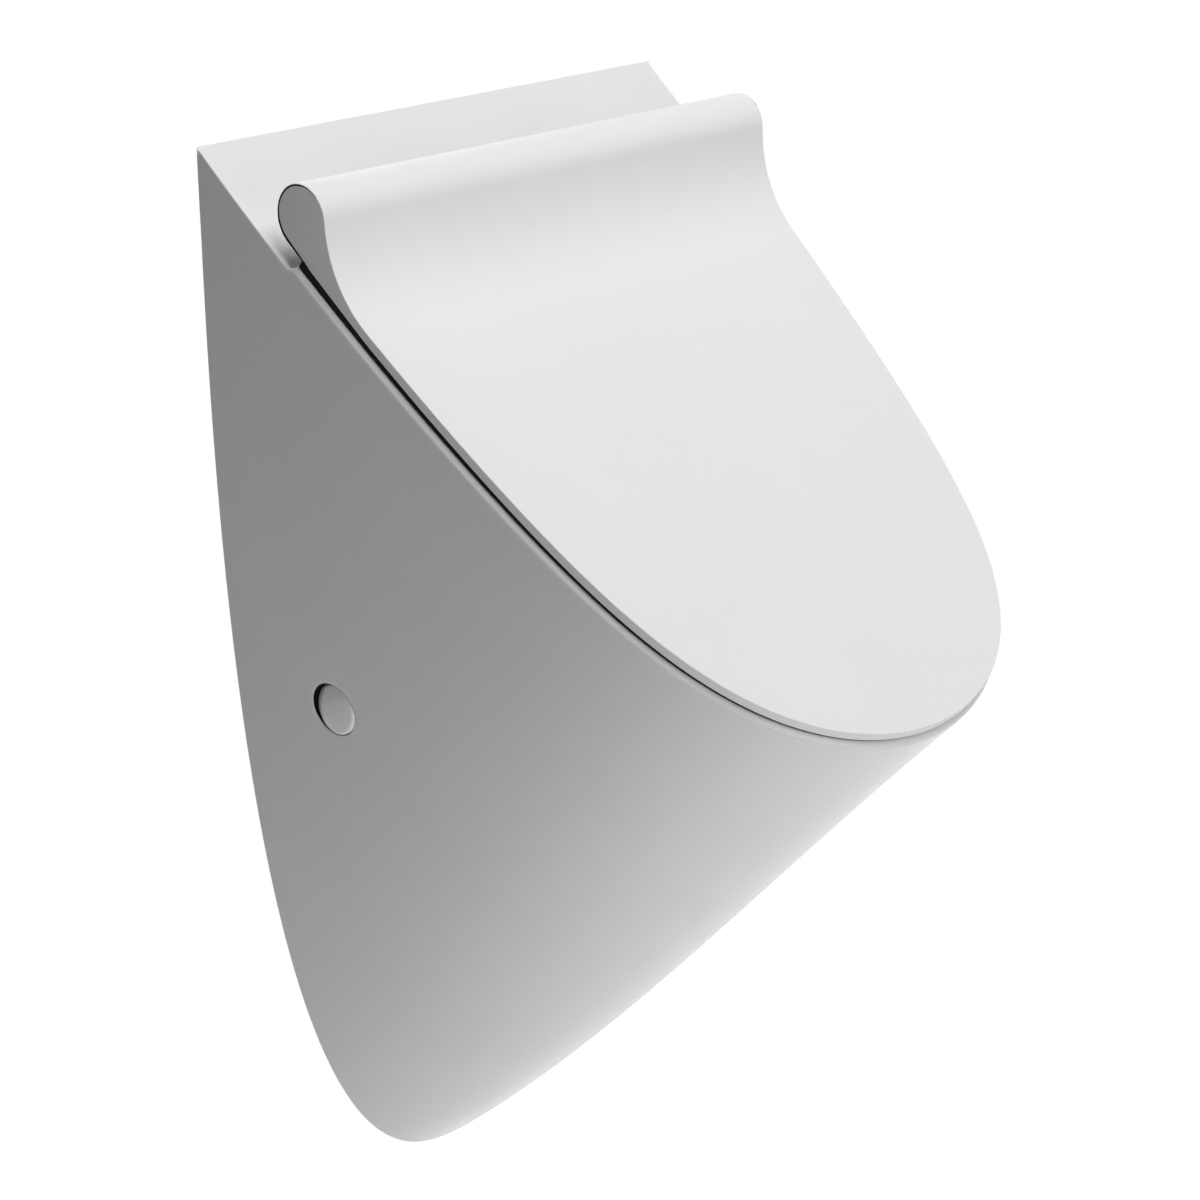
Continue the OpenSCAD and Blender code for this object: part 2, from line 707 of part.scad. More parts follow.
// Lid: heights of its underside and top over the slope, and the outline of its side
function lid_gap(s) = lid_gap_back + (lid_gap_tip - lid_gap_back) * s / rim_length;
function lid_under(s) = rim_round + lid_gap(s) - sag(s);
function lid_top(s) = lid_under(s) + lid_thick;
blend_run = roll_blend - roll_along;
blend_fall = lid_top(roll_blend) - roll_above;
blend_radius = (pow(blend_run, 2) + pow(blend_fall, 2) - pow(roll_radius, 2))
    / (2 * (roll_radius - blend_fall));
blend_turn = atan2(blend_fall + blend_radius, blend_run);
straight_angle = 180;
plate_run = rim_length - roll_blend;
function arc(x, y, radius, from, to) = [
    for (i = [0 : ceil(abs(to - from) / arc_step)])
        let(angle = from + (to - from) * i / ceil(abs(to - from) / arc_step))
        [x + radius * cos(angle), y + radius * sin(angle)]
];
module lid_side() {
    roll = arc(roll_along, roll_above, roll_radius, 270, blend_turn);
    blend = arc(
        roll_blend, lid_top(roll_blend) + blend_radius, blend_radius, straight_angle + blend_turn, 270
    );
    top = [
        for (i = [1 : outline_steps / 4])
            let(s = roll_blend + plate_run * i * 4 / outline_steps)
            [s, lid_top(s)]
    ];
    under = [
        for (i = [outline_steps / 4 : -1 : 0])
            let(s = roll_blend + plate_run * i * 4 / outline_steps)
            [s, lid_under(s)]
    ];
    mirror([1, 0]) polygon(concat(roll, blend, top, under));
}
module lid_outline() {
    start = asin((roll_along - roll_radius - overrun) / rim_length);
    left = [
        for (i = [0 : outline_steps])
            let(s = rim_length * sin(start + (90 - start) * i / outline_steps))
            [-rim_half(s), -s]
    ];
    right = [for (i = [outline_steps - 1 : -1 : 0]) [-left[i][0], left[i][1]]];
    polygon(concat(left, right));
}
module across(half) {
    rotate([90, 0, 90]) linear_extrude(2 * half, center = true) children();
}
pocket_front = -30;
pocket_back = -207;
module hinge_pocket() {
    reach = 3 * roll_radius;
    across(pocket_half) translate([-roll_along, roll_above]) {
        circle(r = roll_radius - roll_wall);
        mirror([1, 0]) polygon(concat([[0, 0]], arc(0, 0, reach, pocket_front, pocket_back)));
    }
}
module lid() color(plastic) at_origin() difference() {
    rotate([rim_slope, 0, 0]) difference() {
        intersection() {
            across(width) lid_side();
            linear_extrude(roll_above + 2 * roll_radius) lid_outline();
        }
        hinge_pocket();
    }
    both_sides() at_axis(pocket_half - overrun)
        cylinder(r = damper_radius, h = damper_length + overrun);
}
module damper(side) color(grey_plastic) at_origin() on_side(side)
    at_axis(pocket_half) difference() {
        cylinder(r = damper_radius, h = damper_length);
        translate([0, 0, -overrun])
            cylinder(r = shaft_radius + running, h = shaft_grip + 2 * overrun);
    }
buffer_radius = 5.5;
buffer_lift = 0.15;
buffer_sink = 0.06;
buffer_shares = [0.42, 0.8];
function opening_half(s) =
    let(along = (s - bowl_middle) / bowl_reach)
    bowl_half * (1 - bowl_taper_share * (1 + along) / 2)
    * pow(1 - pow(abs(along), bowl_power), 1 / bowl_power);
module lid_buffers() color(rubber) at_origin()
    for (share = buffer_shares)
        let(s = rim_length * share, x = (rim_half(s) + opening_half(s)) / 2)
        both_sides() at_rim(x, s) translate([0, 0, buffer_lift])
        cylinder(r = buffer_radius, h = lid_gap(s) - buffer_lift - buffer_sink);

ceramic_body();
wall_bracket(-1);  // wall_bracket_left
wall_bracket(1);  // wall_bracket_right
clamp_nut(-1);  // clamp_nut_left
clamp_nut(1);  // clamp_nut_right
clamp_screw(-1);  // clamp_screw_left
clamp_screw(1);  // clamp_screw_right
clamp_bush(-1);  // clamp_bush_left
clamp_bush(1);  // clamp_bush_right
side_cap(-1);  // side_cap_left
side_cap(1);  // side_cap_right
inlet_sleeve();
spray_head();
spray_gasket();
spray_nut();
strainer_seat();
seat_gasket();
tail_gasket();
tail_locknut();
trap_cup();
dip_tube();
waste_socket();
waste_seal();
strainer();
hinge_post(-1);  // hinge_post_left
hinge_post(1);  // hinge_post_right
hinge_shaft(-1);  // hinge_shaft_left
hinge_shaft(1);  // hinge_shaft_right
hinge_pad(-1);  // hinge_pad_left
hinge_pad(1);  // hinge_pad_right
hinge_stud(-1);  // hinge_stud_left
hinge_stud(1);  // hinge_stud_right
stud_washer(-1);  // stud_washer_left
stud_washer(1);  // stud_washer_right
stud_nut(-1);  // stud_nut_left
stud_nut(1);  // stud_nut_right
hinge_bush(-1);  // hinge_bush_left
hinge_bush(1);  // hinge_bush_right
lid();
damper(-1);  // damper_left
damper(1);  // damper_right
lid_buffers();
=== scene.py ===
"""Looks of the wall hung urinal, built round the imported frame."""
import bpy
import bmesh
import json
import math
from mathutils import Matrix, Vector
from mathutils.bvhtree import BVHTree


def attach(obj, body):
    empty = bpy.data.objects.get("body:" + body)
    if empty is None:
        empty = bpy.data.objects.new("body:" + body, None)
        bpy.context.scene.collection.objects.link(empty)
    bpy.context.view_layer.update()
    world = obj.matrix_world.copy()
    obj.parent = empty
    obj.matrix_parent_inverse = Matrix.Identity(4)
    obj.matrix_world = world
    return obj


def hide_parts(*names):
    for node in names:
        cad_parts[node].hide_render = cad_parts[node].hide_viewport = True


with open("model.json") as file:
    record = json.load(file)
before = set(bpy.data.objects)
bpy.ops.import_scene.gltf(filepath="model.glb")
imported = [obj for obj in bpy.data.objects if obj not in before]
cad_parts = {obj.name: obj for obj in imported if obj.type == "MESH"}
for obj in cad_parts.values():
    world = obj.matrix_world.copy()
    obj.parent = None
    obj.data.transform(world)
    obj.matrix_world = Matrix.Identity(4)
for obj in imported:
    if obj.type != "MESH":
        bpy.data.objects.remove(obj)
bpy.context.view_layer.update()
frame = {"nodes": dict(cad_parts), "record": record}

MM = 0.001

# Sizes of the body, in millimetres, as in the CAD source
WIDTH = 300.0
HEIGHT = 572.0
RIM_LENGTH = 408.0
RIM_SLOPE = math.radians(37.1)
RIM_SAG = 2.0
KEEL_CROWN = 5.2
TAPER_SHARE = 0.32
NOSE_POWER = 8.9
BACK_POWER = 2.26
BACK_FULLNESS = 2.42
CROWN_SKEW = 2.25
CROWN_POWER = 1.57
SKIN = 9.0
DECK_THICK = 12.0
RIM_RISE = 4.0
RIM_START = 77.0

# Sizes of the bowl
LEDGE = 38.0
BOWL_START = 124.0
BOWL_FRONT = 34.0
BOWL_POWER = 2.5
BOWL_TAPER = 0.2
BOWL_FULLNESS = 1.6
BOWL_WALL = 10.0
FLOOR_DROP = 407.0
OUTLET_REACH = 50.0
FLOOR_RADIUS = 36.0
FLOOR_THICK = 13.0
SEAT_RECESS = 7.0
SEAT_RECESS_RADIUS = 35.0
FLOOR_HOLE = 23.5
INLET_DROP = 112.0
SPRAY_FLANGE = 18.0
SPRAY_SEAT_DEPTH = 1.5
SPRAY_BOSS_DEPTH = 15.0
SPRAY_MARGIN = 4.0
TAIL_RADIUS = 12.0

# Sizes of the side fixings
FIXING_TURN = math.radians(35.1)
FIXING_SHARE = 0.66
CAP_RADIUS = 13.2
RECESS_RADIUS = 13.7
RECESS_DEPTH = 12.0
RECESS_FLOOR = 6.0
RECESS_WALL = 8.0
BUSH_HOLE = 6.4
CAP_SINK = -0.8
CAP_CROWN = 46.0
CAP_PLAY = 0.3
CAP_SKIRT = 1.6
CAP_THICK = 2.5

# Sizes of the lid and the hinge
LID_THICK = 4.8
LID_GAP_BACK = 4.4
LID_GAP_TIP = 1.1
ROLL_RADIUS = 16.0
ROLL_ALONG = 69.6
ROLL_ABOVE = 24.0
ROLL_BLEND = 131.0
ROLL_WALL = 3.4
POCKET_HALF = 86.0
POCKET_FRONT = math.radians(-30)
POCKET_BACK = math.radians(-207)
DAMPER_RADIUS = 8.2
DAMPER_LENGTH = 40.0
POST_PLACE = 73.0
FOOT_ALONG = 90.0
STUD_HOLE = 5.5

# Mesh faults below these sizes are mended, in metres and square metres
WELD = 0.00002
FLAT_AREA = 1e-10
FLAT_PASSES = 4

# Points closer than this share of a rounding's width are merged before it
MERGE_SHARE = 0.7

# Angles over which edges stay sharp, in degrees, and those that get rounded
SHARP_ANGLE = 40
BODY_SHARP_ANGLE = 32
GAP_SHADE_SHARP_ANGLE = 50
ROUNDED_ANGLE = math.radians(35)

QUARTER = math.pi / 2
FULL_TURN = 2 * math.pi
SIDES = ((-1, "left"), (1, "right"))
COS_SLOPE = math.cos(RIM_SLOPE)
SIN_SLOPE = math.sin(RIM_SLOPE)


# ---- The body's surfaces, in millimetres from the top edge at the wall ----

def sag(s):
    """How far the rim lies below its straight slope."""
    return 4 * RIM_SAG * (s / RIM_LENGTH) * (1 - s / RIM_LENGTH)


def on_slope(x, s, h):
    """A point s down the straight slope and h above it."""
    return Vector((x, -s * COS_SLOPE - h * SIN_SLOPE, -s * SIN_SLOPE + h * COS_SLOPE))


def on_rim(x, s, h):
    return on_slope(x, s, h - sag(s))


def rim_half(s, inset=0.0, nose_inset=0.0):
    """Half the rim's width, s down its slope."""
    share = min(1.0, s / (RIM_LENGTH - nose_inset))
    fall = max(0.0, 1 - share ** NOSE_POWER)
    return (WIDTH / 2 - inset) * (1 - TAPER_SHARE * share ** 2) * math.sqrt(fall)


TIP = on_slope(0, RIM_LENGTH, 0)
KEEL = math.atan2(TIP.z + HEIGHT, -TIP.y)
NOSE = RIM_SLOPE + KEEL


def body_point(side, turn, back, inset=0.0, drop=0.0):
    """A point of the shell: turn goes from the top edge to the tip, back from rim to wall."""
    nose_inset = inset / math.sin(NOSE) + drop / math.tan(NOSE)
    across = math.sin(turn)
    s = (RIM_LENGTH - nose_inset) * across
    rim = on_rim(side * rim_half(s, inset, nose_inset), s, -drop)
    behind = drop * SIN_SLOPE
    fall = drop * COS_SLOPE
    tall = HEIGHT - fall - inset / math.cos(KEEL) + behind * math.tan(KEEL)
    half = (WIDTH / 2 - inset) * max(0.0, 1 - across ** BACK_POWER) ** (1 / BACK_FULLNESS)
    wall = Vector((side * half, behind, -fall - tall * across))
    skew = 1 + CROWN_SKEW * (back - 0.5)
    swell = 4 * back * (1 - back) * skew * KEEL_CROWN * across ** CROWN_POWER
    bulge = Vector((0, math.cos(KEEL), math.sin(KEEL))) * swell
    return rim * (1 - back) + wall * back - bulge


FIXING = body_point(-1, FIXING_TURN, FIXING_SHARE)
FIXING_OUT = -FIXING.x
ORIGIN = Vector((0, 0, -FIXING.z))


def place(point):
    """Millimetres from the top edge to metres in the part's frame."""
    return (point + ORIGIN) * MM


# ---- Mesh helpers ----

def new_object(name, points, faces):
    """A mesh of points in metres, its faces turned outwards."""
    mesh = bpy.data.meshes.new(name)
    bm = bmesh.new()
    verts = [bm.verts.new(p) for p in points]
    for face in faces:
        corners = list(dict.fromkeys(face))
        if len(corners) > 2:
            bm.faces.new([verts[i] for i in corners])
    bmesh.ops.remove_doubles(bm, verts=bm.verts, dist=WELD)
    bmesh.ops.dissolve_degenerate(bm, dist=WELD / 4, edges=bm.edges)
    bmesh.ops.recalc_face_normals(bm, faces=bm.faces)
    if bm.calc_volume(signed=True) < 0:
        bmesh.ops.reverse_faces(bm, faces=bm.faces)
    bm.to_mesh(mesh)
    bm.free()
    obj = bpy.data.objects.new(name, mesh)
    bpy.context.collection.objects.link(obj)
    return obj


def bake(obj):
    """Applies the modifiers of a piece to its mesh."""
    graph = bpy.context.evaluated_depsgraph_get()
    mesh = bpy.data.meshes.new_from_object(obj.evaluated_get(graph))
    obj.modifiers.clear()
    old = obj.data
    obj.data = mesh
    bpy.data.meshes.remove(old)


def cut(obj, cutter):
    """Takes a shape away from a piece and removes the shape."""
    modifier = obj.modifiers.new("cut", "BOOLEAN")
    modifier.operation = "DIFFERENCE"
    modifier.solver = "EXACT"
    modifier.object = cutter
    bake(obj)
    bpy.data.objects.remove(cutter)


def close_split_edges(bm):
    """Joins each open edge with the open edges along it, and gives the points on them."""
    split = [e for e in bm.edges if e.is_boundary]
    ends = list(dict.fromkeys(v for e in split for v in e.verts))
    for edge in split:
        start, end = edge.verts
        way = end.co - start.co
        for v in ends:
            share = (v.co - start.co).dot(way) / way.length_squared
            aside = (start.co + way * share - v.co).length
            if v not in (start, end) and 0 < share < 1 and aside < WELD:
                bmesh.utils.edge_split(edge, start, share)
                break
    bmesh.ops.remove_doubles(bm, verts=bm.verts, dist=WELD)
    return [v for v in ends if v.is_valid]


def split_faces(bm, around):
    """Makes triangles of the larger faces at the given points or edges."""
    faces = dict.fromkeys(f for part in around for f in part.link_faces if len(f.verts) > 3)
    bmesh.ops.triangulate(bm, faces=list(faces))


def mend(obj):
    """Merges points that lie together, closes split edges and leaves no flat face."""
    bm = bmesh.new()
    bm.from_mesh(obj.data)
    bmesh.ops.remove_doubles(bm, verts=bm.verts, dist=WELD)
    bmesh.ops.dissolve_degenerate(bm, dist=WELD / 2, edges=bm.edges)
    joined = close_split_edges(bm)
    many_sided = [f for f in bm.faces if len(f.verts) > 4]
    bmesh.ops.triangulate(
        bm, faces=many_sided, quad_method="BEAUTY", ngon_method="BEAUTY",
    )
    split_faces(bm, joined)
    for _ in range(FLAT_PASSES):
        flat = [f for f in bm.faces if f.calc_area() < FLAT_AREA]
        if not flat:
            break
        longest = list(dict.fromkeys(
            max(f.edges, key=lambda e: e.calc_length()) for f in flat
        ))
        split_faces(bm, longest)
        bmesh.ops.rotate_edges(bm, edges=longest, use_ccw=False)
    bm.to_mesh(obj.data)
    bm.free()


def soften(obj, angle=SHARP_ANGLE):
    """Shades a piece smooth except over its sharp edges."""
    mesh = obj.data
    mesh.polygons.foreach_set("use_smooth", [True] * len(mesh.polygons))
    mesh.set_sharp_from_angle(angle=math.radians(angle))
    mesh.update()


def round_edges(obj, width, chosen):
    """Rounds the edges of a mesh for which chosen(start, end) is true."""
    bm = bmesh.new()
    bm.from_mesh(obj.data)
    near = [v for v in bm.verts if chosen(v.co, v.co)]
    bmesh.ops.remove_doubles(bm, verts=near, dist=width * MERGE_SHARE)
    edges = [
        e for e in bm.edges
        if len(e.link_faces) == 2
        and e.calc_face_angle(0) > ROUNDED_ANGLE
        and chosen(e.verts[0].co, e.verts[1].co)
    ]
    bmesh.ops.bevel(
        bm, geom=edges, offset=width, segments=3, profile=0.5,
        affect="EDGES", clamp_overlap=True,
    )
    bm.to_mesh(obj.data)
    bm.free()


def rings(centre, axis, profile, sides):
    """Rings of points round an axis, one for each (radius, along) pair in millimetres."""
    turn = Vector(axis).normalized().to_track_quat("Z", "Y").to_matrix()
    points = []
    for radius, along in profile:
        for i in range(sides):
            a = FULL_TURN * i / sides
            ring = Vector((radius * math.cos(a), radius * math.sin(a), along))
            points.append(place(Vector(centre) + turn @ ring))
    return points


def ring_faces(low, high, sides):
    """Faces between two rings of points that start at the given numbers."""
    return [
        (low + i, low + (i + 1) % sides, high + (i + 1) % sides, high + i)
        for i in range(sides)
    ]


def tube_faces(rows, sides):
    """Faces of a closed tube of rows with the same number of points."""
    faces = []
    for i in range(rows - 1):
        faces += ring_faces(sides * i, sides * (i + 1), sides)
    return faces + [tuple(range(sides)), tuple(range(sides * (rows - 1), sides * rows))]


def cylinder(name, centre, axis, radius, start, end, sides):
    """A closed cylinder from start to end along an axis."""
    faces = ring_faces(0, sides, sides)
    faces.append(tuple(range(sides)))
    faces.append(tuple(range(sides, 2 * sides)))
    profile = ((radius, start), (radius, end))
    return new_object(name, rings(centre, axis, profile, sides), faces)


def turned(name, centre, axis, profile, sides):
    """A turned shape from a closed outline of (radius, along) pairs."""
    rows = len(profile)
    faces = []
    for j in range(rows):
        faces += ring_faces(j * sides, (j + 1) % rows * sides, sides)
    return new_object(name, rings(centre, axis, profile, sides), faces)


# ---- The glazed body ----

DECK_EDGE = 0.5
RIM_FACET = 2.2
FACET_DROP = 1.9
CORNER = 0.25
EDGE_SUPPORT = 0.6
RIM_RAMP = 5.0
EDGE_GROWTH = 12.0      # along the side, for each millimetre of the deck's edge
EDGE_ROWS = 7
SHORTEST_EDGE = 0.001
SHORTEST_SPAN = 1.0

# Where the side's cross sections lie, closer where the rim starts beside the roll
STATIONS = (
    0.0, 4, 10, 20, 32, 44, 56, 66, 73, 77, 77.5, 78.2, 79, 79.8, 80.6,
    81.4, 82, 84, 86.5, 89,
)
OUTER_COUNT = 84
OUTER_DEPTH = 44
TOP_COLUMNS = 20
INNER_COUNT = 44
INNER_DEPTH = 14
INNER_SPREAD = 0.8      # below one, the sections stand closer at the tip

# The small edge where the body meets the wall
WALL_CHAMFER = 0.8
CHAMFER_GROWTH = 30
CHAMFER_SPAN = 10


def step_up(value, low, high):
    """Rises softly from 0 at low to 1 at high."""
    share = min(1.0, max(0.0, (value - low) / (high - low)))
    return share * share * (3 - 2 * share)


def edge_points(side, turn):
    """The bevelled edge from the top down the rim's side, and the wall's first share."""
    s = RIM_LENGTH * math.sin(turn)
    ramp = step_up(s, RIM_START, RIM_START + RIM_RAMP)
    rise = RIM_RISE * ramp
    small = min(DECK_EDGE, s / EDGE_GROWTH)
    inset = small + (RIM_FACET - small) * ramp
    drop = small + (FACET_DROP - small) * ramp
    corner = min(CORNER, inset / 3)
    reach = (body_point(side, turn, 0) - body_point(side, turn, 1)).length
    span = max(reach, SHORTEST_SPAN)

    def on_top(back):
        s_in = (RIM_LENGTH - back) * math.sin(turn)
        return on_rim(side * rim_half(s_in, back, back), s_in, rise)

    def on_side(down):
        if down < rise:
            return on_rim(side * rim_half(s), s, rise - down)
        return body_point(side, turn, min(1.0, (down - rise) / span))

    high, low = on_top(inset), on_side(drop)
    share = corner / max((high - low).length, corner * 3, SHORTEST_EDGE)
    rows = [
        on_top(inset + EDGE_SUPPORT), on_top(inset + corner), high.lerp(low, share),
        high.lerp(low, 0.5), high.lerp(low, 1 - share), on_side(drop + corner),
        on_side(drop + corner + rise / 2),
    ]
    return rows, min(1.0, (drop + corner) / span)


def both_sides(turns):
    """The sections down the left side to the tip and back up the right side."""
    return [(-1, t) for t in turns] + [(1, t) for t in reversed(turns[:-1])]


def strip_faces(count, row):
    """Faces between rows of points that follow each other."""
    return [
        (i * row + j, i * row + j + 1, (i + 1) * row + j + 1, (i + 1) * row + j)
        for i in range(count) for j in range(row - 1)
    ]


def make_outer():
    """The outside of the body, closed at the wall."""
    turns = [math.asin(s / RIM_LENGTH) for s in STATIONS]
    first = turns[-1]
    turns += [
        first + (QUARTER - first) * i / OUTER_COUNT for i in range(1, OUTER_COUNT + 1)
    ]
    sides = both_sides(turns)
    row = EDGE_ROWS + OUTER_DEPTH + 2
    points = []
    for side, turn in sides:
        chamfer = min(WALL_CHAMFER, CHAMFER_GROWTH * turn)
        rows, start = edge_points(side, turn)
        points += rows
        for j in range(OUTER_DEPTH + 1):
            back = start + (1 - start) * j / OUTER_DEPTH
            if j == OUTER_DEPTH:
                span = (body_point(side, turn, 0) - body_point(side, turn, 1)).length
                back = max(start, 1 - chamfer / max(span, CHAMFER_SPAN))
            points.append(body_point(side, turn, back))
        points.append(body_point(side, turn, 1, inset=chamfer))
    last = len(sides) - 1
    faces = strip_faces(last, row)
    # The top, in strips from side to side
    grid = []
    for i in range(len(turns)):
        left, right = points[i * row], points[(last - i) * row]
        strip = [i * row]
        for k in range(1, TOP_COLUMNS):
            points.append(left.lerp(right, k / TOP_COLUMNS))
            strip.append(len(points) - 1)
        strip.append((last - i) * row)
        grid.append(strip)
    for here, there in zip(grid, grid[1:]):
        for k in range(TOP_COLUMNS):
            faces.append((here[k], there[k], there[k + 1], here[k + 1]))
    # The back: one face in the wall's plane
    wall = [i * row + row - 1 for i in range(last + 1)]
    faces.append(tuple(wall) + tuple(reversed(grid[0][1:-1])))
    for p in points:
        p.y = min(p.y, 0.0)
    return new_object("ceramic", [place(p) for p in points], faces)


def make_inner():
    """The space behind the glazed skin."""
    turns = [
        QUARTER * (i / INNER_COUNT) ** INNER_SPREAD for i in range(INNER_COUNT + 1)
    ]
    sides = both_sides(turns)
    points = [
        body_point(side, turn, j / INNER_DEPTH, SKIN, DECK_THICK)
        for side, turn in sides for j in range(INNER_DEPTH + 1)
    ]
    row = INNER_DEPTH + 1
    last = len(sides) - 1
    faces = strip_faces(last, row)
    for i in range(INNER_COUNT):
        a, b = i * row, (last - i) * row
        faces.append((a, a + row, b - row, b))
    faces.append(tuple(i * row + row - 1 for i in range(last + 1)))
    return new_object("hollow", [place(p) for p in points], faces)


BOWL_MIDDLE = (BOWL_START + RIM_LENGTH - BOWL_FRONT) / 2
BOWL_REACH = (RIM_LENGTH - BOWL_FRONT - BOWL_START) / 2
BOWL_HALF = WIDTH / 2 - LEDGE
BOWL_LIP = 6.0
BOWL_ABOVE = 12.0
LIP_STEPS = 8
BOWL_SIDES = 128
BOWL_ROWS = 40
BACK_SIDES = 72
BACK_ROWS = 18


def rounded(value):
    """Bends a sine or cosine towards the corners of a rounded rectangle."""
    return math.copysign(abs(value) ** (2 / BOWL_POWER), value)


def bowl_edge(angle, grow, h):
    """A point of the bowl's upper edge, grown outwards and h above the rim's slope."""
    along = rounded(math.sin(angle))
    s = BOWL_MIDDLE + (BOWL_REACH + grow) * along
    taper = 1 - BOWL_TAPER * (1 + along) / 2
    return on_rim((BOWL_HALF + grow) * rounded(math.cos(angle)) * taper, s, h)


def bowl_point(angle, share, grow=0.0, h=RIM_RISE, deeper=0.0):
    """A point of the bowl's wall, from its upper edge at share 0 to the floor at 1."""
    edge = bowl_edge(angle, grow, h)
    radius = FLOOR_RADIUS + grow
    foot = Vector((
        radius * math.cos(angle), -OUTLET_REACH - radius * math.sin(angle),
        -FLOOR_DROP - deeper,
    ))
    close = 1 - share ** BOWL_FULLNESS
    flat = foot.lerp(edge, close)
    return Vector((flat.x, flat.y, edge.z + (foot.z - edge.z) * share))


def make_bowl(name, grow, h, deeper, above, lip=0.0,
              sides=BOWL_SIDES, rows=BOWL_ROWS):
    """The bowl as a solid that gets cut out, with a rounded lip where one is given."""
    angles = [FULL_TURN * i / sides for i in range(sides)]
    levels = [[bowl_edge(a, grow + lip, h + above) for a in angles]]
    if lip:
        for k in range(LIP_STEPS + 1):
            theta = QUARTER * k / LIP_STEPS
            wide = lip * (1 - math.sin(theta))
            low = lip * (1 - math.cos(theta))
            levels.append([bowl_edge(a, grow + wide, h - low) for a in angles])
    start = 1 if lip else 0
    for j in range(start, rows + 1):
        levels.append([bowl_point(a, j / rows, grow, h - lip, deeper) for a in angles])
    points = [place(p) for level in levels for p in level]
    last = (len(levels) - 1) * sides
    faces = []
    for low in range(0, last, sides):
        faces += ring_faces(low, low + sides, sides)
    faces.append(tuple(range(sides)))
    faces.append(tuple(range(last, last + sides)))
    return new_object(name, points, faces)


# How far cuts reach past what they cut, and their numbers of sides
CLEAR = 1.0
FEW_SIDES = 48
SOME_SIDES = 64
MANY_SIDES = 96

RECESS_ROUNDING = 0.0006
RECESS_NEAR = 0.1
RECESS_EDGE_DEPTH = 6


def at_recess(a, b):
    """Whether an edge lies on the outer edge of a side recess."""
    for p in (a, b):
        q = p / MM - ORIGIN
        away = math.hypot(q.y - FIXING.y, q.z - FIXING.z)
        if abs(away - RECESS_RADIUS) > RECESS_NEAR:
            return False
        if abs(q.x) < FIXING_OUT - RECESS_EDGE_DEPTH:
            return False
    return True


def make_body():
    """The glazed body: its outside less the hollow, the bowl and the holes."""
    body = make_outer()
    hollow = make_inner()
    cut(hollow, make_bowl("bowl_back", BOWL_WALL, -DECK_THICK / 2, FLOOR_THICK, CLEAR,
                          sides=BACK_SIDES, rows=BACK_ROWS))
    at_fixing = (0, FIXING.y, FIXING.z)
    recess_floor = FIXING_OUT - RECESS_DEPTH
    boss_out = recess_floor - RECESS_FLOOR
    for side in (-1, 1):
        cut(hollow, cylinder("boss", at_fixing, (side, 0, 0), RECESS_RADIUS + RECESS_WALL,
                             boss_out, FIXING_OUT + SKIN, SOME_SIDES))
    bowl_top = bowl_edge(-QUARTER, 0, RIM_RISE).z
    share = (bowl_top + INLET_DROP) / (bowl_top + FLOOR_DROP)
    spray_seat = -bowl_point(-QUARTER, share).y - SPRAY_SEAT_DEPTH
    spray_back = spray_seat - SPRAY_BOSS_DEPTH
    inlet = (0, 0, -INLET_DROP)
    outwards = (0, -1, 0)
    cut(hollow, cylinder("boss", inlet, outwards, SPRAY_FLANGE + SPRAY_MARGIN,
                         spray_back, spray_seat, SOME_SIDES))
    cut(body, hollow)
    cut(body, make_bowl("bowl", 0, RIM_RISE, 0, BOWL_ABOVE, lip=BOWL_LIP))
    tilt = RIM_SLOPE + math.atan(4 * RIM_SAG / RIM_LENGTH * (1 - 2 * FOOT_ALONG / RIM_LENGTH))
    stud_way = (0, -math.sin(tilt), math.cos(tilt))
    for side in (-1, 1):
        cut(body, cylinder("recess", at_fixing, (side, 0, 0), RECESS_RADIUS,
                           recess_floor, FIXING_OUT + SKIN, MANY_SIDES))
        cut(body, cylinder("hole", at_fixing, (side, 0, 0), BUSH_HOLE,
                           boss_out - CLEAR, recess_floor + CLEAR, FEW_SIDES))
        foot = on_rim(side * POST_PLACE, FOOT_ALONG, RIM_RISE)
        cut(body, cylinder("stud", foot, stud_way, STUD_HOLE,
                           -RIM_RISE - DECK_THICK - CLEAR, CLEAR, FEW_SIDES))
    # The spray's face is cut before its hole, which ends in the face's plane otherwise
    cut(body, cylinder("inlet_face", inlet, outwards, SPRAY_FLANGE + CLEAR,
                       spray_seat, spray_seat + BOWL_WALL, SOME_SIDES))
    cut(body, cylinder("inlet", inlet, outwards, TAIL_RADIUS + CLEAR,
                       spray_back - CLEAR, spray_seat + CLEAR, SOME_SIDES))
    outlet = (0, -OUTLET_REACH, 0)
    cut(body, cylinder("seat", outlet, (0, 0, 1), SEAT_RECESS_RADIUS,
                       -FLOOR_DROP - SEAT_RECESS, -FLOOR_DROP + CLEAR, MANY_SIDES))
    cut(body, cylinder("outlet", outlet, (0, 0, 1), FLOOR_HOLE,
                       -FLOOR_DROP - FLOOR_THICK - CLEAR, -FLOOR_DROP, SOME_SIDES))
    round_edges(body, RECESS_ROUNDING, at_recess)
    mend(body)
    soften(body, BODY_SHARP_ANGLE)
    return body


# ---- The lid ----

LID_EDGE = 0.4
LID_INSET = 1.8

# Steps of the lid's mesh: round the roll, along the blend and the plate, over the
# edge at the sides, across the lid, and round the wedge over the hinge
ROLL_STEPS = 56
BLEND_STEPS = 20
PLATE_STEPS = 70
EDGE_STEPS = 5
ACROSS_STEPS = 14
WEDGE_STEPS = 24
WEDGE_REACH = 3 * ROLL_RADIUS
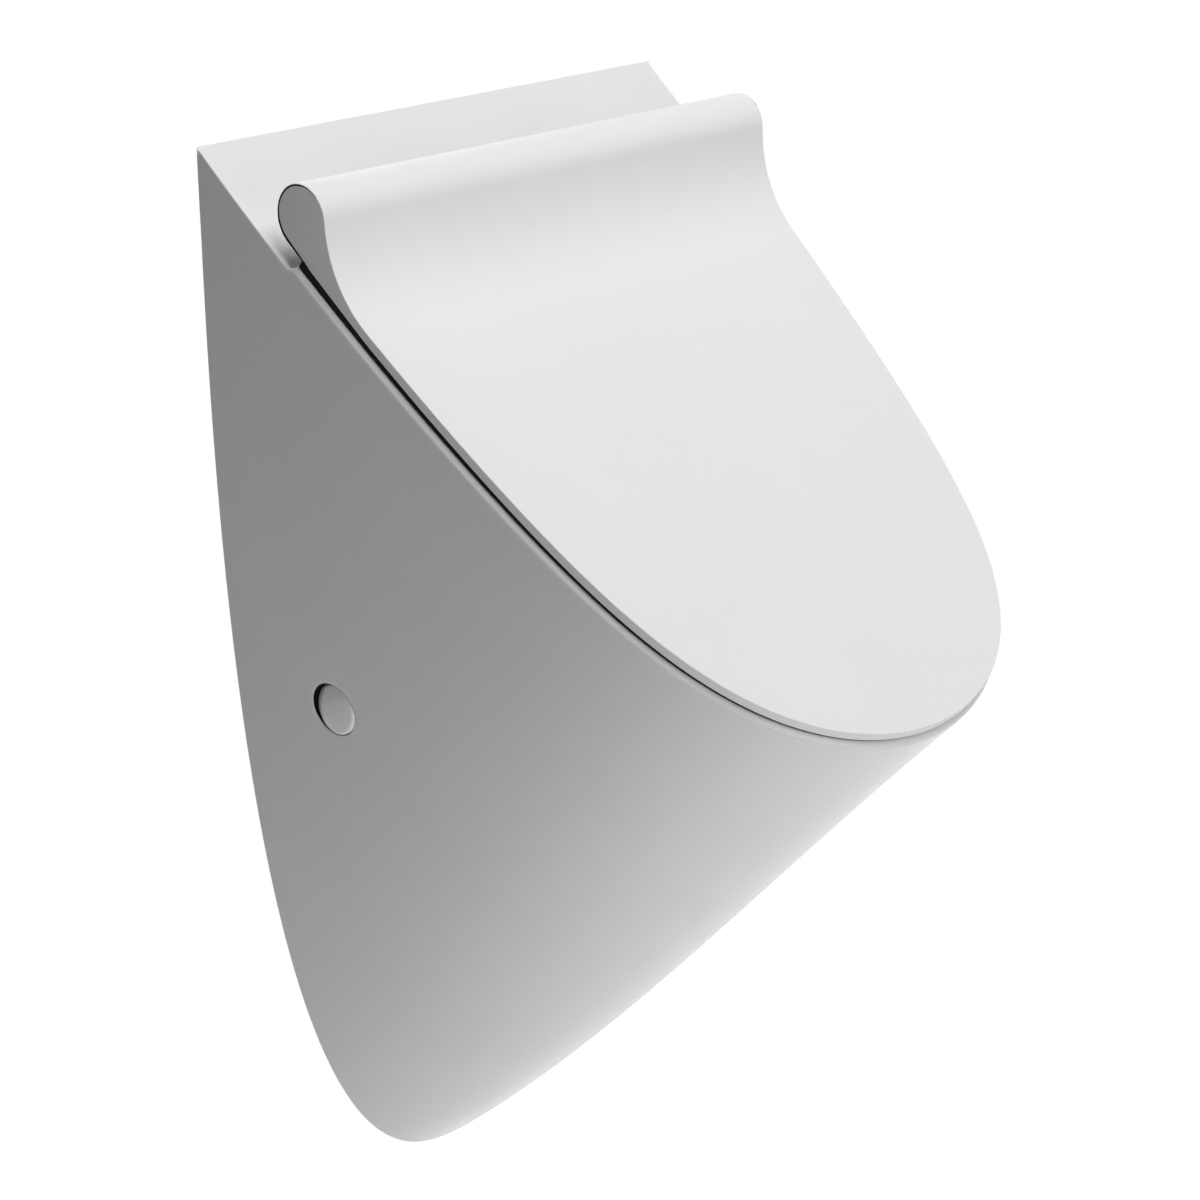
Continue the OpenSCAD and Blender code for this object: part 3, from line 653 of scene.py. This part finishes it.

# The painted shadow line round the roll's end, a black strip: from and to which angle, where
# it gets wider, its widths, and how far it stands in and out of the end's face
SHADOW_LINE_FROM = 84
SHADOW_LINE_TO = 268
SHADOW_LINE_WIDENS = 190
SHADOW_LINE_WIDTH = 0.8
SHADOW_LINE_END = 1.4
SHADOW_LINE_TIP = 0.05
SHADOW_LINE_SWELL = 4
SHADOW_LINE_TAPER = 0.8
SHADOW_LINE_SINK = LID_EDGE * 0.3
SHADOW_LINE_LAYER = (-0.5, 0.06)
SHADOW_LINE_STEPS = 48
TAIL_STEPS = 8
TAIL_OVERLAP = 5

# The black strip under the lid's edge, painted shade that darkens the gap over the rim
GAP_SHADE_START = 81.0
GAP_SHADE_INSET = 2.3
GAP_SHADE_WIDTH = 1.3
GAP_SHADE_CLEAR = 0.15
GAP_SHADE_SINK = 0.3
GAP_SHADE_STEPS = 90
GAP_SHADE_SECTION = ((0, 1), (0, 0.25), (0.25, 0), (0.75, 0), (1, 0.25), (1, 1))


def lid_gap(s):
    return LID_GAP_BACK + (LID_GAP_TIP - LID_GAP_BACK) * s / RIM_LENGTH


def lid_under(s):
    return RIM_RISE + lid_gap(s) - sag(s)


def lid_top(s):
    return lid_under(s) + LID_THICK


def under_plate(s):
    """The lid's lower face, which runs straight up to the roll behind its blend."""
    if s > ROLL_BLEND:
        return lid_under(s)
    share = (s - ROLL_ALONG) / (ROLL_BLEND - ROLL_ALONG)
    return (ROLL_ABOVE - ROLL_RADIUS) * (1 - share) + lid_under(ROLL_BLEND) * share


def lid_section():
    """The lid's outline as (s, h, outward s, outward h), and where its top starts and ends."""
    run = ROLL_BLEND - ROLL_ALONG
    fall = lid_top(ROLL_BLEND) - ROLL_ABOVE
    radius = (run ** 2 + fall ** 2 - ROLL_RADIUS ** 2) / (2 * (ROLL_RADIUS - fall))
    turn = math.atan2(fall + radius, run)
    sweep = FULL_TURN - (turn + QUARTER)
    loop = []
    for i in range(ROLL_STEPS + 1):
        a = -QUARTER - sweep * i / ROLL_STEPS
        out_s, out_h = math.cos(a), math.sin(a)
        loop.append((ROLL_ALONG + ROLL_RADIUS * out_s, ROLL_ABOVE + ROLL_RADIUS * out_h,
                     out_s, out_h))
    low, high = math.pi + turn, 1.5 * math.pi
    centre = lid_top(ROLL_BLEND) + radius
    for i in range(1, BLEND_STEPS + 1):
        a = low + (high - low) * i / BLEND_STEPS
        in_s, in_h = math.cos(a), math.sin(a)
        loop.append((ROLL_BLEND + radius * in_s, centre + radius * in_h, -in_s, -in_h))
    first = math.asin(ROLL_BLEND / RIM_LENGTH)
    plate = [
        RIM_LENGTH * math.sin(first + (QUARTER - first) * i / PLATE_STEPS)
        for i in range(PLATE_STEPS + 1)
    ]
    top_start = len(loop) - 1
    loop += [(s, lid_top(s), 0.0, 1.0) for s in plate[1:]]
    top_end = len(loop) - 1
    loop += [(s, lid_under(s), 0.0, -1.0) for s in reversed(plate)]
    return loop, top_start, top_end


def make_wedge():
    """The wedge that opens the roll's pocket towards the rim."""
    fan = [(0.0, 0.0)]
    for i in range(WEDGE_STEPS + 1):
        a = POCKET_FRONT + (POCKET_BACK - POCKET_FRONT) * i / WEDGE_STEPS
        fan.append((WEDGE_REACH * math.cos(a), WEDGE_REACH * math.sin(a)))
    points = [
        place(on_slope(x, ROLL_ALONG + s, ROLL_ABOVE + h))
        for x in (-POCKET_HALF, POCKET_HALF) for s, h in fan
    ]
    n = len(fan)
    faces = ring_faces(0, n, n) + [tuple(range(n)), tuple(range(n, 2 * n))]
    return new_object("wedge", points, faces)


def make_lid():
    """The lid with its roll, the pocket over the hinge and the dampers' bores."""
    loop, top_start, top_end = lid_section()

    def column(theta, share):
        """The section at an angle over the side's edge and a share of the half width."""
        drop = LID_EDGE * (1 - math.sin(theta))
        inset = LID_INSET + LID_EDGE * (1 - math.cos(theta))
        points = []
        for s, h, out_s, out_h in loop:
            s = (s - out_s * drop) * (RIM_LENGTH - inset) / RIM_LENGTH
            points.append(on_slope(share * rim_half(s, inset, inset), s, h - out_h * drop))
        return points

    over = [QUARTER * k / EDGE_STEPS for k in range(EDGE_STEPS + 1)]
    columns = [column(theta, -1) for theta in over]
    columns += [column(QUARTER, 2 * k / ACROSS_STEPS - 1) for k in range(1, ACROSS_STEPS)]
    columns += [column(theta, 1) for theta in reversed(over)]
    points = [place(p) for c in columns for p in c]
    size = len(loop)
    under_end = size - 1
    right = (len(columns) - 1) * size
    faces = []
    for base in range(0, right, size):
        for i in range(size):
            if i == top_end:
                continue
            j = (i + 1) % size
            faces.append((base + i, base + j, base + size + j, base + size + i))
    for base in (0, right):
        for i in range(PLATE_STEPS):
            a, b = base + top_start + i, base + under_end - i
            faces.append((a, a + 1, b - 1, b))
        faces.append(tuple(base + i for i in range(top_start + 1)) + (base + under_end,))
    lid = new_object("lid_cover", points, faces)
    axis = on_slope(0, ROLL_ALONG, ROLL_ABOVE)
    cut(lid, cylinder("pocket", axis, (1, 0, 0), ROLL_RADIUS - ROLL_WALL,
                      -POCKET_HALF, POCKET_HALF, MANY_SIDES))
    cut(lid, make_wedge())
    for side in (-1, 1):
        cut(lid, cylinder("bore", axis, (side, 0, 0), DAMPER_RADIUS,
                          POCKET_HALF - CLEAR, POCKET_HALF + DAMPER_LENGTH, SOME_SIDES))
    mend(lid)
    soften(lid)
    return lid


def make_roll_shadow_line(side, word):
    """A thin black strip round the end of the roll and down to the gap under the lid, a
    painted shadow line.
    """
    outer = ROLL_RADIUS - SHADOW_LINE_SINK
    first, last = math.radians(SHADOW_LINE_FROM), math.radians(SHADOW_LINE_TO)
    path = []
    for i in range(SHADOW_LINE_STEPS + 1):
        a = first + (last - first) * i / SHADOW_LINE_STEPS
        grow = step_up(math.degrees(a), SHADOW_LINE_WIDENS, SHADOW_LINE_TO)
        wide = SHADOW_LINE_WIDTH * min(1.0, SHADOW_LINE_SWELL * i / SHADOW_LINE_STEPS + SHADOW_LINE_TIP)
        path.append((ROLL_ALONG + outer * math.cos(a), ROLL_ABOVE + outer * math.sin(a),
                     math.cos(a), math.sin(a), wide + (SHADOW_LINE_END - SHADOW_LINE_WIDTH) * grow))
    for i in range(1, TAIL_STEPS + 1):
        s = ROLL_ALONG + (GAP_SHADE_START + TAIL_OVERLAP - ROLL_ALONG) * i / TAIL_STEPS
        wide = SHADOW_LINE_END * (1 - SHADOW_LINE_TAPER * i / TAIL_STEPS)
        path.append((s, under_plate(s) + SHADOW_LINE_SINK, 0.0, -1.0, wide))
    deep, proud = SHADOW_LINE_LAYER
    points = []
    for s, h, out_s, out_h, wide in path:
        for back, out in ((0, deep), (0, proud), (wide, proud), (wide, deep)):
            x = rim_half(s, LID_INSET, LID_INSET) + out
            points.append(place(on_slope(side * x, s - out_s * back, h - out_h * back)))
    roll_shadow = new_object("roll_painted_shadow_" + word, points, tube_faces(len(path), 4))
    soften(roll_shadow)
    return roll_shadow


def make_gap_shade_strip():
    """A black strip under the lid, set in from its edge, that paints shade into the gap over
    the rim.
    """
    first = math.asin(GAP_SHADE_START / RIM_LENGTH)
    sides = both_sides([
        first + (QUARTER - first) * i / GAP_SHADE_STEPS for i in range(GAP_SHADE_STEPS + 1)
    ])
    points = []
    for side, turn in sides:
        for back, share in GAP_SHADE_SECTION:
            inset = GAP_SHADE_INSET + GAP_SHADE_WIDTH * back
            s = (RIM_LENGTH - inset) * math.sin(turn)
            low = RIM_RISE + GAP_SHADE_CLEAR - sag(s)
            high = under_plate(s) + GAP_SHADE_SINK
            h = low + (high - low) * share if share < 1 else high
            points.append(place(on_slope(side * rim_half(s, inset, inset), s, h)))
    gap_shade = new_object("lid_gap_painted_shade", points, tube_faces(len(sides), len(GAP_SHADE_SECTION)))
    soften(gap_shade, GAP_SHADE_SHARP_ANGLE)
    return gap_shade


# ---- The side caps, and the black sleeves in their recesses that paint shade ----

# The cap's axis, the small edge at its foot, the round edge of its face and how
# far round that goes, and the steps of both curves
CAP_CENTRE = 0.001
CAP_FOOT = 0.3
CAP_EDGE = 2.2
CAP_EDGE_SWEEP = 0.92
CAP_EDGE_STEPS = 6
CAP_CROWN_STEPS = 13

# The black sleeve in each recess, painted shade: its radii, how deep it starts and how far
# under the glaze it ends
RECESS_SHADE_OUTSIDE = RECESS_RADIUS - 0.02
RECESS_SHADE_INSIDE = CAP_RADIUS + 0.1
RECESS_SHADE_DEEP = 2.5
RECESS_SHADE_SINK = 0.75
PROBE_RADIUS = RECESS_RADIUS + 1.2
PROBE_AWAY = 40


def make_cap(side, word):
    """A hollow cap with a skirt and a slightly domed face."""
    face = RECESS_DEPTH - CAP_SINK - CAP_PLAY
    inner = CAP_RADIUS - CAP_SKIRT
    flat = face - CAP_THICK
    crown_reach = CAP_RADIUS - CAP_EDGE

    def crown(r):
        return face - CAP_CROWN + math.sqrt(CAP_CROWN ** 2 - r ** 2)

    rim = crown(crown_reach)
    profile = [
        (CAP_CENTRE, flat), (inner, flat), (inner, 0.0),
        (CAP_RADIUS - CAP_FOOT, 0.0), (CAP_RADIUS, CAP_FOOT),
    ]
    for i in range(CAP_EDGE_STEPS + 1):
        a = QUARTER * i / CAP_EDGE_STEPS * CAP_EDGE_SWEEP
        profile.append((CAP_RADIUS - CAP_EDGE * (1 - math.cos(a)),
                        rim - CAP_EDGE * (1 - math.sin(a))))
    for i in range(1, CAP_CROWN_STEPS + 1):
        r = max(CAP_CENTRE, crown_reach * (1 - i / CAP_CROWN_STEPS))
        profile.append((r, crown(r)))
    foot = Vector((side * (FIXING_OUT - RECESS_DEPTH + CAP_PLAY), FIXING.y, FIXING.z))
    cap = turned("cap_cover_" + word, foot, (side, 0, 0), profile, MANY_SIDES)
    soften(cap)
    return cap


def make_recess_shade(side, word, glazed):
    """A thin black sleeve round the recess's wall, cut off just under the glazed surface,
    painted shade in the recess.
    """
    deep = FIXING_OUT - RECESS_DEPTH + RECESS_SHADE_DEEP
    points, faces = [], []
    for i in range(MANY_SIDES):
        a = FULL_TURN * i / MANY_SIDES
        out_y, out_z = math.cos(a), math.sin(a)
        probe = Vector((side * (FIXING_OUT + PROBE_AWAY), FIXING.y + PROBE_RADIUS * out_y,
                        FIXING.z + PROBE_RADIUS * out_z))
        hit = glazed.ray_cast(place(probe), Vector((-side, 0, 0)))[0]
        level = abs(hit.x) / MM - RECESS_SHADE_SINK
        for radius, x in ((RECESS_SHADE_INSIDE, deep), (RECESS_SHADE_OUTSIDE, deep),
                          (RECESS_SHADE_OUTSIDE, level), (RECESS_SHADE_INSIDE, level)):
            points.append(place(Vector((side * x, FIXING.y + radius * out_y,
                                        FIXING.z + radius * out_z))))
        faces += ring_faces(4 * i, 4 * ((i + 1) % MANY_SIDES), 4)
    recess_shade = new_object("recess_painted_shade_" + word, points, faces)
    soften(recess_shade)
    return recess_shade


# ---- Materials ----

COAT_ROUGHNESS = 0.06
WAVE_DEPTH = 0.0004
GRAIN_DEPTH = 0.00006
PATCH_SCALE = 2.6       # patches of roughness against patches of colour
RAMP_ENDS = (0.1, 0.9)


def node_material(name):
    """An empty node material with its shader."""
    material = bpy.data.materials.new(name)
    material.use_nodes = True
    tree = material.node_tree
    tree.nodes.clear()
    output = tree.nodes.new("ShaderNodeOutputMaterial")
    shader = tree.nodes.new("ShaderNodeBsdfPrincipled")
    tree.links.new(shader.outputs["BSDF"], output.inputs["Surface"])
    return material, tree, shader


def noise(tree, scale, detail=3.0):
    """A noise in the piece's own coordinates."""
    where = tree.nodes.new("ShaderNodeTexCoord")
    texture = tree.nodes.new("ShaderNodeTexNoise")
    texture.inputs["Scale"].default_value = scale
    texture.inputs["Detail"].default_value = detail
    texture.inputs["Roughness"].default_value = 0.5
    tree.links.new(where.outputs["Object"], texture.inputs["Vector"])
    return texture


def ramp(tree, source, low, high):
    """A colour between two, by a noise."""
    node = tree.nodes.new("ShaderNodeValToRGB")
    for element, where, colour in zip(node.color_ramp.elements, RAMP_ENDS, (low, high)):
        element.position = where
        element.color = colour
    tree.links.new(source.outputs["Fac"], node.inputs["Fac"])
    return node


def tone(value, tint=(1.0, 1.0, 1.0)):
    return (value * tint[0], value * tint[1], value * tint[2], 1.0)


def bump_of(tree, below, strength, scale, depth, stretch=None):
    """A bump of noise on top of the one below it, drawn out where stretch is given."""
    grain = noise(tree, scale, detail=2.0)
    if stretch:
        mapping = tree.nodes.new("ShaderNodeMapping")
        mapping.inputs["Scale"].default_value = stretch
        source = grain.inputs["Vector"].links[0].from_socket
        tree.links.new(source, mapping.inputs["Vector"])
        tree.links.new(mapping.outputs["Vector"], grain.inputs["Vector"])
    node = tree.nodes.new("ShaderNodeBump")
    node.inputs["Strength"].default_value = strength
    node.inputs["Distance"].default_value = depth
    tree.links.new(grain.outputs["Fac"], node.inputs["Height"])
    if below:
        tree.links.new(below.outputs["Normal"], node.inputs["Normal"])
    return node


def surface(name, low, high, rough, bump, bump_scale, metallic=0.0, coat=0.0,
            tone_scale=14.0, wave=None, specular=0.5, stretch=None):
    """A material with uneven colour and roughness, a fine bump and a long soft wave."""
    material, tree, shader = node_material(name)
    colour = ramp(tree, noise(tree, tone_scale), low, high)
    tree.links.new(colour.outputs["Color"], shader.inputs["Base Color"])
    patch = noise(tree, tone_scale * PATCH_SCALE, detail=4.0)
    level = ramp(tree, patch, tone(rough[0]), tone(rough[1]))
    tree.links.new(level.outputs["Color"], shader.inputs["Roughness"])
    shader.inputs["Metallic"].default_value = metallic
    shader.inputs["Specular IOR Level"].default_value = specular
    shader.inputs["Coat Weight"].default_value = coat
    shader.inputs["Coat Roughness"].default_value = COAT_ROUGHNESS
    normal = None
    if wave:
        normal = bump_of(tree, None, wave[0], wave[1], WAVE_DEPTH)
    normal = bump_of(tree, normal, bump, bump_scale, GRAIN_DEPTH, stretch)
    tree.links.new(normal.outputs["Normal"], shader.inputs["Normal"])
    return material


COOL = (0.995, 1.0, 1.0)
ZINC = (0.98, 1.0, 1.02)
MATERIALS = {
    "glaze": surface(
        "white_glaze", tone(0.84, COOL), tone(0.87, COOL), (0.16, 0.24),
        bump=0.25, bump_scale=260, coat=0.12, wave=(0.12, 9), specular=0.3,
    ),
    "lid_plastic": surface(
        "white_lid", tone(0.86, COOL), tone(0.885, COOL), (0.28, 0.34),
        bump=0.2, bump_scale=900, wave=(0.05, 7), specular=0.35,
    ),
    # The cap's white is a little lighter than the glaze's, painted light that brightens the
    # cap's face
    "cap_enamel": surface(
        "white_cap", tone(0.9, COOL), tone(0.93, COOL), (0.2, 0.28),
        bump=0.2, bump_scale=900, coat=0.3,
    ),
    "grey_plastic": surface(
        "grey_plastic", tone(0.3), tone(0.34), (0.42, 0.55), bump=0.4, bump_scale=1200,
    ),
    "black_rubber": surface(
        "black_rubber", tone(0.012), tone(0.02), (0.6, 0.75), bump=0.6, bump_scale=1500,
    ),
    "clear_rubber": surface(
        "pale_rubber", tone(0.6), tone(0.66), (0.45, 0.6), bump=0.4, bump_scale=1500,
    ),
    "zinc_steel": surface(
        "zinc_steel", tone(0.5, ZINC), tone(0.62, ZINC), (0.28, 0.42),
        bump=0.5, bump_scale=500, metallic=1.0, tone_scale=60,
    ),
    "satin_steel": surface(
        "satin_steel", tone(0.58), tone(0.66), (0.24, 0.34),
        bump=0.5, bump_scale=260, metallic=1.0, tone_scale=40, stretch=(1.0, 12.0, 12.0),
    ),
    "chrome": surface(
        "chrome", tone(0.72), tone(0.78), (0.06, 0.14),
        bump=0.15, bump_scale=300, metallic=1.0, tone_scale=30,
    ),
    "brass": surface(
        "brass", (0.5, 0.36, 0.15, 1.0), (0.6, 0.45, 0.2, 1.0), (0.25, 0.4),
        bump=0.4, bump_scale=500, metallic=1.0, tone_scale=50,
    ),
    # Near black, the painted shade and shadow of the strips in the lid's gap, in the recesses
    # and round the roll
    "painted_shade_black": surface(
        "painted_shade_black", tone(0.004), tone(0.006), (0.75, 0.9),
        bump=0.5, bump_scale=1500, specular=0.1,
    ),
}


def dress(obj, material):
    obj.data.materials.clear()
    obj.data.materials.append(material)


# ---- Pieces ----

slots = {row["node"]: row["material_slot"] for row in frame["record"]["subparts"]}
for name, obj in frame["nodes"].items():
    dress(obj, MATERIALS[slots[name]])

body = make_body()
dress(body, MATERIALS["glaze"])
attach(body, "fixed")
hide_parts("ceramic_body")

glazed = BVHTree.FromObject(body, bpy.context.evaluated_depsgraph_get())
for side, word in SIDES:
    cap = make_cap(side, word)
    dress(cap, MATERIALS["cap_enamel"])
    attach(cap, "cap_" + word)
    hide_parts("side_cap_" + word)
    # A black sleeve painted as shade in the side recess
    recess_shade = make_recess_shade(side, word, glazed)
    dress(recess_shade, MATERIALS["painted_shade_black"])
    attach(recess_shade, "fixed")
    # Painted shadow: a black line round the roll's end and down to the lid's gap
    roll_shadow = make_roll_shadow_line(side, word)
    dress(roll_shadow, MATERIALS["painted_shade_black"])
    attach(roll_shadow, "lid")

# Painted shade: the black strip in the gap between the lid and the rim
gap_shade = make_gap_shade_strip()
dress(gap_shade, MATERIALS["painted_shade_black"])
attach(gap_shade, "lid")

lid = make_lid()
dress(lid, MATERIALS["lid_plastic"])
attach(lid, "lid")
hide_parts("lid")


# ---- Floor, light and camera ----

FLOOR_LEVEL = -0.64
FLOOR_HALF = 9
FLOOR_TONE = 0.6
FLOOR_ROUGHNESS = 0.9
WORLD_LIGHT = 0.010
WHITE = tone(1.0)

# Name, place, point it looks at, size, watts
LAMPS = (
    ("top", (0.05, -0.65, 2.33), (0.0, -0.12, 0.0), (1.2, 2.5), 48.5),
    ("front", (-0.1, -2.3, 0.25), (0.0, -0.1, 0.0), (1.2, 1.2), 8.6),
    ("low", (-0.1, -1.15, -0.6), (0.0, -0.2, -0.2), (1.1, 0.7), 1.4),
    ("low_side", (-0.75, -1.1, -0.6), (0.0, -0.2, -0.2), (1.1, 0.7), 5.2),
    ("right", (2.0, -0.2, 0.3), (0.0, -0.1, 0.0), (1.2, 1.2), 5),
    ("back", (0.3, 1.7, 0.5), (0.0, 0.0, -0.05), (2.4, 2.4), 7),
)

# The camera that was fitted to the photo, its focal length in the photo's pixels
PHOTO_PIXELS = 1200
FOCAL_PIXELS = 3399.64
SENSOR = 36.0
CAMERA_PLACE = (-1.11837, -1.23327, 0.60133)
CAMERA_WAY = (0.66577, 0.66577, -0.33689)


def seen_rays(tree):
    """One for the rays that show the background: from the camera, mirrored or passed on."""
    path = tree.nodes.new("ShaderNodeLightPath")
    last = path.outputs["Is Camera Ray"]
    for word in ("Is Glossy Ray", "Is Transmission Ray"):
        both = tree.nodes.new("ShaderNodeMath")
        both.operation = "MAXIMUM"
        tree.links.new(last, both.inputs[0])
        tree.links.new(path.outputs[word], both.inputs[1])
        last = both.outputs["Value"]
    return last


def show(tree, lit, seen, output):
    """Mixes what lights the piece with what the rays of seen_rays meet."""
    mix = tree.nodes.new("ShaderNodeMixShader")
    tree.links.new(seen_rays(tree), mix.inputs["Fac"])
    tree.links.new(lit, mix.inputs[1])
    tree.links.new(seen, mix.inputs[2])
    tree.links.new(mix.outputs["Shader"], output.inputs["Surface"])


def make_floor():
    """A pale floor that lights the piece from below and shows as white."""
    corners = ((-1, -1), (1, -1), (1, 1), (-1, 1))
    points = [Vector((x * FLOOR_HALF, y * FLOOR_HALF, FLOOR_LEVEL)) for x, y in corners]
    floor = new_object("floor", points, [(0, 1, 2, 3)])
    material, tree, shader = node_material("pale_floor")
    shader.inputs["Base Color"].default_value = tone(FLOOR_TONE)
    shader.inputs["Roughness"].default_value = FLOOR_ROUGHNESS
    glow = tree.nodes.new("ShaderNodeEmission")
    glow.inputs["Color"].default_value = WHITE
    glow.inputs["Strength"].default_value = 1.0
    output = tree.nodes["Material Output"]
    show(tree, shader.outputs["BSDF"], glow.outputs["Emission"], output)
    floor.data.materials.append(material)


def background(tree, strength):
    node = tree.nodes.new("ShaderNodeBackground")
    node.inputs["Color"].default_value = WHITE
    node.inputs["Strength"].default_value = strength
    return node.outputs["Background"]


def make_world():
    """White where it is seen, and a faint light from all sides."""
    world = bpy.data.worlds.new("studio")
    bpy.context.scene.world = world
    world.use_nodes = True
    tree = world.node_tree
    tree.nodes.clear()
    output = tree.nodes.new("ShaderNodeOutputWorld")
    show(tree, background(tree, WORLD_LIGHT), background(tree, 1.0), output)


def look_along(obj, way):
    obj.rotation_euler = way.to_track_quat("-Z", "Y").to_euler()


def lamp(name, where, aim, size, power):
    data = bpy.data.lights.new(name, "AREA")
    data.shape = "RECTANGLE"
    data.size, data.size_y = size
    data.energy = power
    obj = bpy.data.objects.new(name, data)
    obj.location = where
    look_along(obj, Vector(aim) - Vector(where))
    obj.visible_camera = False
    bpy.context.collection.objects.link(obj)


make_floor()
make_world()
for row in LAMPS:
    lamp(*row)

camera_data = bpy.data.cameras.new("camera")
camera = bpy.data.objects.new("camera", camera_data)
bpy.context.collection.objects.link(camera)
camera_data.sensor_width = SENSOR
camera_data.lens = FOCAL_PIXELS / PHOTO_PIXELS * SENSOR
camera.location = CAMERA_PLACE
look_along(camera, Vector(CAMERA_WAY))
bpy.context.scene.camera = camera
bpy.context.scene.view_settings.view_transform = "Standard"
